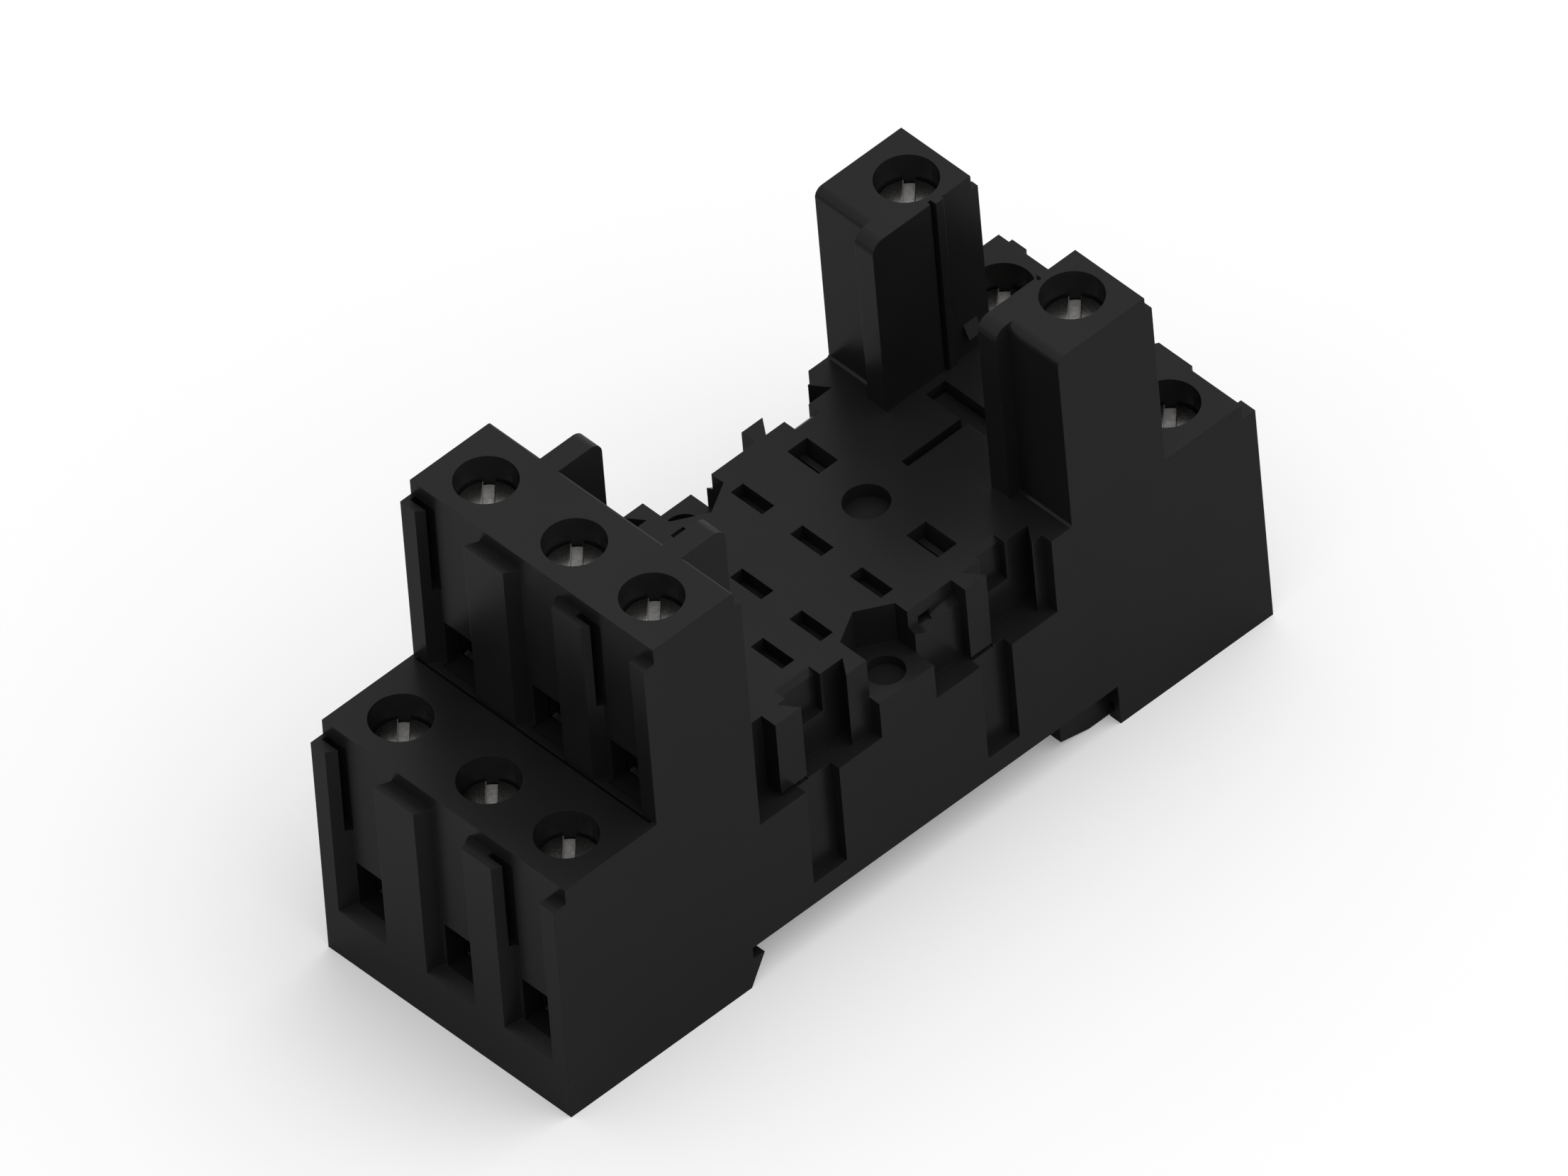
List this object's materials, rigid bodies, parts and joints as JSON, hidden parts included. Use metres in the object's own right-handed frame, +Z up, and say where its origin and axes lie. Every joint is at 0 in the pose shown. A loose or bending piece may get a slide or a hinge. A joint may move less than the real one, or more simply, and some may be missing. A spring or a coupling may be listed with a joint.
{
  "type": "relay socket",
  "caption": "Screw-terminal socket for a plug-in relay, for a 35 mm rail: stepped front terminals, two towers, a deck of pin slots and a spring-loaded rail latch.",
  "frame": {"origin": "middle of the underside, in the plane of the housing's feet", "axes": "+X from the stepped front terminals to the rear terminals, across the rail; +Y along the rail; +Z up, away from the rail"},
  "size_m": [0.074, 0.027, 0.0416],
  "materials": {
    "black_plastic": "fine satin moulding, black",
    "latch_plastic": "black moulding, a little smoother",
    "screw_steel": "zinc-plated steel with a dark passivated skin",
    "clamp_steel": "zinc-plated steel",
    "contact_copper": "tinned copper alloy strip",
    "spring_steel": "bright spring wire"
  },
  "bodies": {
    "socket": {"housing": "black_plastic", "base_cover": "black_plastic", "latch_spring": "spring_steel", "contact_low_left": "contact_copper", "contact_low_middle": "contact_copper", "contact_low_right": "contact_copper", "contact_high_left": "contact_copper", "contact_high_middle": "contact_copper", "contact_high_right": "contact_copper", "contact_coil_left": "contact_copper", "contact_coil_right": "contact_copper", "contact_rear_left": "contact_copper", "contact_rear_middle": "contact_copper", "contact_rear_right": "contact_copper"},
    "screw_low_left": {"screw_low_left": "screw_steel"},
    "clamp_low_left": {"clamp_low_left": "clamp_steel"},
    "screw_low_middle": {"screw_low_middle": "screw_steel"},
    "clamp_low_middle": {"clamp_low_middle": "clamp_steel"},
    "screw_low_right": {"screw_low_right": "screw_steel"},
    "clamp_low_right": {"clamp_low_right": "clamp_steel"},
    "screw_high_left": {"screw_high_left": "screw_steel"},
    "clamp_high_left": {"clamp_high_left": "clamp_steel"},
    "screw_high_middle": {"screw_high_middle": "screw_steel"},
    "clamp_high_middle": {"clamp_high_middle": "clamp_steel"},
    "screw_high_right": {"screw_high_right": "screw_steel"},
    "clamp_high_right": {"clamp_high_right": "clamp_steel"},
    "screw_coil_left": {"screw_coil_left": "screw_steel"},
    "clamp_coil_left": {"clamp_coil_left": "clamp_steel"},
    "screw_coil_right": {"screw_coil_right": "screw_steel"},
    "clamp_coil_right": {"clamp_coil_right": "clamp_steel"},
    "screw_rear_left": {"screw_rear_left": "screw_steel"},
    "clamp_rear_left": {"clamp_rear_left": "clamp_steel"},
    "screw_rear_middle": {"screw_rear_middle": "screw_steel"},
    "clamp_rear_middle": {"clamp_rear_middle": "clamp_steel"},
    "screw_rear_right": {"screw_rear_right": "screw_steel"},
    "clamp_rear_right": {"clamp_rear_right": "clamp_steel"},
    "latch": {"rail_latch": "latch_plastic"}
  },
  "joints": [
    {"name": "screw_low_left_turn", "type": "hinge", "parent": "socket", "child": "screw_low_left", "pos_m": [-0.0314, 0.00921, 0.0185], "axis": [0, 0, 1], "range_deg": [-3024, 0]},
    {"name": "clamp_low_left_rise", "type": "slide", "parent": "socket", "child": "clamp_low_left", "axis": [0, 0, 1], "range_m": [0, 0.0042]},
    {"name": "screw_low_middle_turn", "type": "hinge", "parent": "socket", "child": "screw_low_middle", "pos_m": [-0.0314, -0.0006, 0.0185], "axis": [0, 0, 1], "range_deg": [-3024, 0]},
    {"name": "clamp_low_middle_rise", "type": "slide", "parent": "socket", "child": "clamp_low_middle", "axis": [0, 0, 1], "range_m": [0, 0.0042]},
    {"name": "screw_low_right_turn", "type": "hinge", "parent": "socket", "child": "screw_low_right", "pos_m": [-0.0314, -0.00921, 0.0185], "axis": [0, 0, 1], "range_deg": [-3024, 0]},
    {"name": "clamp_low_right_rise", "type": "slide", "parent": "socket", "child": "clamp_low_right", "axis": [0, 0, 1], "range_m": [0, 0.0042]},
    {"name": "screw_high_left_turn", "type": "hinge", "parent": "socket", "child": "screw_high_left", "pos_m": [-0.02089, 0.00921, 0.0365], "axis": [0, 0, 1], "range_deg": [-3024, 0]},
    {"name": "clamp_high_left_rise", "type": "slide", "parent": "socket", "child": "clamp_high_left", "axis": [0, 0, 1], "range_m": [0, 0.0042]},
    {"name": "screw_high_middle_turn", "type": "hinge", "parent": "socket", "child": "screw_high_middle", "pos_m": [-0.02089, -0.0006, 0.0365], "axis": [0, 0, 1], "range_deg": [-3024, 0]},
    {"name": "clamp_high_middle_rise", "type": "slide", "parent": "socket", "child": "clamp_high_middle", "axis": [0, 0, 1], "range_m": [0, 0.0042]},
    {"name": "screw_high_right_turn", "type": "hinge", "parent": "socket", "child": "screw_high_right", "pos_m": [-0.02089, -0.00921, 0.0365], "axis": [0, 0, 1], "range_deg": [-3024, 0]},
    {"name": "clamp_high_right_rise", "type": "slide", "parent": "socket", "child": "clamp_high_right", "axis": [0, 0, 1], "range_m": [0, 0.0042]},
    {"name": "screw_coil_left_turn", "type": "hinge", "parent": "socket", "child": "screw_coil_left", "pos_m": [0.02344, 0.00921, 0.0365], "axis": [0, 0, 1], "range_deg": [-3024, 0]},
    {"name": "clamp_coil_left_rise", "type": "slide", "parent": "socket", "child": "clamp_coil_left", "axis": [0, 0, 1], "range_m": [0, 0.0042]},
    {"name": "screw_coil_right_turn", "type": "hinge", "parent": "socket", "child": "screw_coil_right", "pos_m": [0.02344, -0.00921, 0.0365], "axis": [0, 0, 1], "range_deg": [-3024, 0]},
    {"name": "clamp_coil_right_rise", "type": "slide", "parent": "socket", "child": "clamp_coil_right", "axis": [0, 0, 1], "range_m": [0, 0.0042]},
    {"name": "screw_rear_left_turn", "type": "hinge", "parent": "socket", "child": "screw_rear_left", "pos_m": [0.03195, 0.00921, 0.0185], "axis": [0, 0, 1], "range_deg": [-3024, 0]},
    {"name": "clamp_rear_left_rise", "type": "slide", "parent": "socket", "child": "clamp_rear_left", "axis": [0, 0, 1], "range_m": [0, 0.0042]},
    {"name": "screw_rear_middle_turn", "type": "hinge", "parent": "socket", "child": "screw_rear_middle", "pos_m": [0.03195, -0.0001, 0.0185], "axis": [0, 0, 1], "range_deg": [-3024, 0]},
    {"name": "clamp_rear_middle_rise", "type": "slide", "parent": "socket", "child": "clamp_rear_middle", "axis": [0, 0, 1], "range_m": [0, 0.0042]},
    {"name": "screw_rear_right_turn", "type": "hinge", "parent": "socket", "child": "screw_rear_right", "pos_m": [0.03195, -0.00921, 0.0185], "axis": [0, 0, 1], "range_deg": [-3024, 0]},
    {"name": "clamp_rear_right_rise", "type": "slide", "parent": "socket", "child": "clamp_rear_right", "axis": [0, 0, 1], "range_m": [0, 0.0042]},
    {"name": "latch_slide", "type": "slide", "parent": "socket", "child": "latch", "axis": [1, 0, 0], "range_m": [0, 0.0025], "stiffness_N_per_m": 800, "springref_m": -0.0015, "deforming": ["latch_spring"]}
  ],
  "couplings": [
    {"joint": "screw_low_left_turn", "follows": "clamp_low_left_rise", "rad_per_m": -12566},
    {"joint": "screw_low_middle_turn", "follows": "clamp_low_middle_rise", "rad_per_m": -12566},
    {"joint": "screw_low_right_turn", "follows": "clamp_low_right_rise", "rad_per_m": -12566},
    {"joint": "screw_high_left_turn", "follows": "clamp_high_left_rise", "rad_per_m": -12566},
    {"joint": "screw_high_middle_turn", "follows": "clamp_high_middle_rise", "rad_per_m": -12566},
    {"joint": "screw_high_right_turn", "follows": "clamp_high_right_rise", "rad_per_m": -12566},
    {"joint": "screw_coil_left_turn", "follows": "clamp_coil_left_rise", "rad_per_m": -12566},
    {"joint": "screw_coil_right_turn", "follows": "clamp_coil_right_rise", "rad_per_m": -12566},
    {"joint": "screw_rear_left_turn", "follows": "clamp_rear_left_rise", "rad_per_m": -12566},
    {"joint": "screw_rear_middle_turn", "follows": "clamp_rear_middle_rise", "rad_per_m": -12566},
    {"joint": "screw_rear_right_turn", "follows": "clamp_rear_right_rise", "rad_per_m": -12566}
  ]
}
